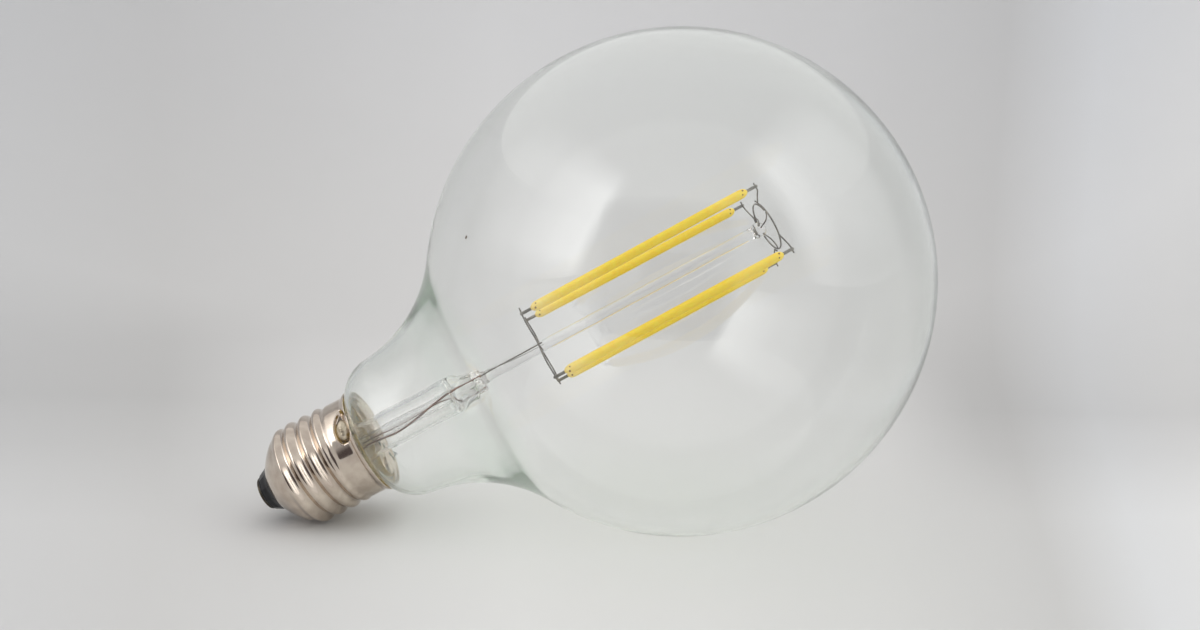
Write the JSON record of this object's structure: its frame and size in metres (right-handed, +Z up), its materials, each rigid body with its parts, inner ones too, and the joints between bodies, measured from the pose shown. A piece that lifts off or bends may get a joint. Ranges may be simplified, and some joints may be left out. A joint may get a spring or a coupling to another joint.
{
  "type": "light bulb",
  "caption": "Clear globe filament lamp with a screw cap, dead and lying on its side, with yellow filaments on a glass stem, crumpled solder and stained cement.",
  "frame": {"origin": "middle of the box's underside, at the surface the lamp lies on; the lamp rests on its globe and on a crest of its screw cap", "axes": "+X from the cap towards the crown of the globe, along the longest side of the box; +Z up; +Y away from the side that shows the solder"},
  "size_m": [0.1644, 0.125, 0.125],
  "materials": {
    "clear_glass": "blown soda-lime glass, clear, faintly green at the edges, light dust",
    "stem_glass": "lead-free stem glass, clear, creased where it was pinched",
    "shell_metal": "nickel-plated sheet, fine brushing, warm stains in the grooves",
    "black_glass": "black glass, dull gloss",
    "contact_brass": "plated brass, tarnished",
    "solder": "dull solder, wrinkled",
    "cement": "olive basing cement, matt",
    "board": "white solder mask",
    "capacitor_sleeve": "shrink sleeve",
    "chip_black": "epoxy package",
    "resistor_body": "lacquered resistor",
    "copper_wire": "copper wire, oxidised",
    "seal_wire": "red sealing wire in the glass",
    "nickel_wire": "dull nickel wire",
    "tab_steel": "stamped tab, dull",
    "phosphor": "yellow silicone with phosphor, satin",
    "strip_ceramic": "white strip of chips"
  },
  "bodies": {
    "root": {"glass_envelope": "clear_glass", "screw_shell": "shell_metal", "insulator": "black_glass", "centre_contact": "contact_brass", "centre_solder": "solder", "side_solder": "solder", "basing_cement": "cement", "side_lead": "copper_wire", "driver_board": "board", "smoothing_capacitor": "capacitor_sleeve", "bridge_rectifier": "chip_black", "driver_chip": "chip_black", "fusible_resistor": "resistor_body", "stem_flare": "stem_glass", "exhaust_tube": "stem_glass", "glass_column": "stem_glass", "outer_lead_near": "copper_wire", "outer_lead_far": "copper_wire", "press_wire_near": "seal_wire", "press_wire_far": "seal_wire", "inner_lead_near": "nickel_wire", "inner_lead_far": "nickel_wire", "crossbar_near": "nickel_wire", "crossbar_far": "nickel_wire", "filament_coat_1": "phosphor", "filament_coat_2": "phosphor", "filament_coat_3": "phosphor", "filament_coat_4": "phosphor", "filament_strip_1": "strip_ceramic", "filament_strip_2": "strip_ceramic", "filament_strip_3": "strip_ceramic", "filament_strip_4": "strip_ceramic", "lower_tab_1": "tab_steel", "lower_tab_2": "tab_steel", "lower_tab_3": "tab_steel", "lower_tab_4": "tab_steel", "upper_tab_1": "tab_steel", "upper_tab_2": "tab_steel", "upper_tab_3": "tab_steel", "upper_tab_4": "tab_steel", "support_ring": "nickel_wire", "ring_arm_1": "nickel_wire", "ring_arm_2": "nickel_wire", "ring_arm_3": "nickel_wire", "ring_arm_4": "nickel_wire", "ring_anchors": "nickel_wire"}
  },
  "joints": []
}
